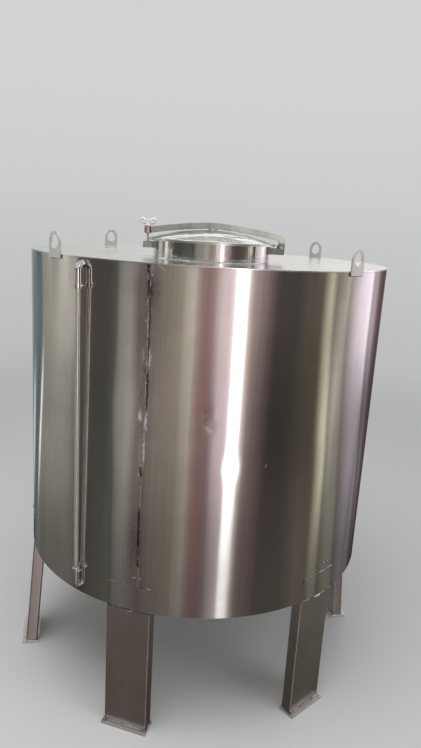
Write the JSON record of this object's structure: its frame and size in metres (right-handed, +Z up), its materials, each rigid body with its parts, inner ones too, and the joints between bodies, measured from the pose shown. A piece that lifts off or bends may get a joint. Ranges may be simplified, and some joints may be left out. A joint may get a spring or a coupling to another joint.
{
  "type": "vertical storage tank",
  "caption": "Upright cylindrical steel storage tank on box legs, with a clamped domed manway, lifting eyes and a side level gauge.",
  "frame": {"origin": "on the floor under the tank's axis", "axes": "+Z up along the tank's axis, -Y towards the front, +X to the right seen from the front"},
  "size_m": [1.2668, 1.1866, 1.5333],
  "materials": {
    "brushed_shell": "bright mill-rolled stainless sheet, blurred reflections",
    "polished_steel": "polished stainless",
    "plain_steel": "satin stainless",
    "cast_steel": "cast stainless, softly polished",
    "bronze": "dull bronze",
    "gauge_clear": "clear hard plastic tube",
    "seal_rubber": "off-white silicone"
  },
  "bodies": {
    "tank": {"shell_section_1": "brushed_shell", "leg_pad_1": "brushed_shell", "leg_1": "plain_steel", "foot_plate_1": "plain_steel", "shell_section_2": "brushed_shell", "leg_pad_2": "brushed_shell", "leg_2": "plain_steel", "foot_plate_2": "plain_steel", "shell_section_3": "brushed_shell", "leg_pad_3": "brushed_shell", "leg_3": "plain_steel", "foot_plate_3": "plain_steel", "shell_section_4": "brushed_shell", "leg_pad_4": "brushed_shell", "leg_4": "plain_steel", "foot_plate_4": "plain_steel", "shell_section_5": "brushed_shell", "leg_pad_5": "brushed_shell", "leg_5": "plain_steel", "foot_plate_5": "plain_steel", "shell_section_6": "brushed_shell", "leg_pad_6": "brushed_shell", "leg_6": "plain_steel", "foot_plate_6": "plain_steel", "lifting_lug_1": "plain_steel", "lifting_lug_2": "plain_steel", "lifting_lug_3": "plain_steel", "lifting_lug_4": "plain_steel", "top_plate": "brushed_shell", "bottom_plate": "plain_steel", "outlet_pipe": "polished_steel", "manway_neck": "polished_steel", "hinge_bracket": "plain_steel", "hinge_pin": "plain_steel", "latch_bracket": "plain_steel", "gauge_top_elbow": "polished_steel", "gauge_bottom_elbow": "polished_steel", "gauge_tube": "gauge_clear", "gauge_top_clip": "plain_steel", "gauge_bottom_clip": "plain_steel"},
    "cover": {"manway_lid": "polished_steel", "manway_seal": "seal_rubber", "lid_boss": "plain_steel", "clamp_bar": "plain_steel", "bolt_bush": "bronze"},
    "bolt": {"clamp_bolt": "plain_steel"},
    "nut": {"wing_nut": "cast_steel"}
  },
  "joints": [
    {"name": "manway_hinge", "type": "hinge", "parent": "tank", "child": "cover", "pos_m": [0.213, -0.244, 1.466], "axis": [0, 1, 0], "range_deg": [0, 110]},
    {"name": "clamp_bolt_turn", "type": "hinge", "parent": "cover", "child": "bolt", "pos_m": [-0.191, -0.244, 1.48], "axis": [0, 0, 1], "range_deg": [0, 90]},
    {"name": "wing_nut_turn", "type": "hinge", "parent": "bolt", "child": "nut", "pos_m": [-0.191, -0.244, 1.518], "axis": [0, 0, 1], "continuous": true}
  ]
}
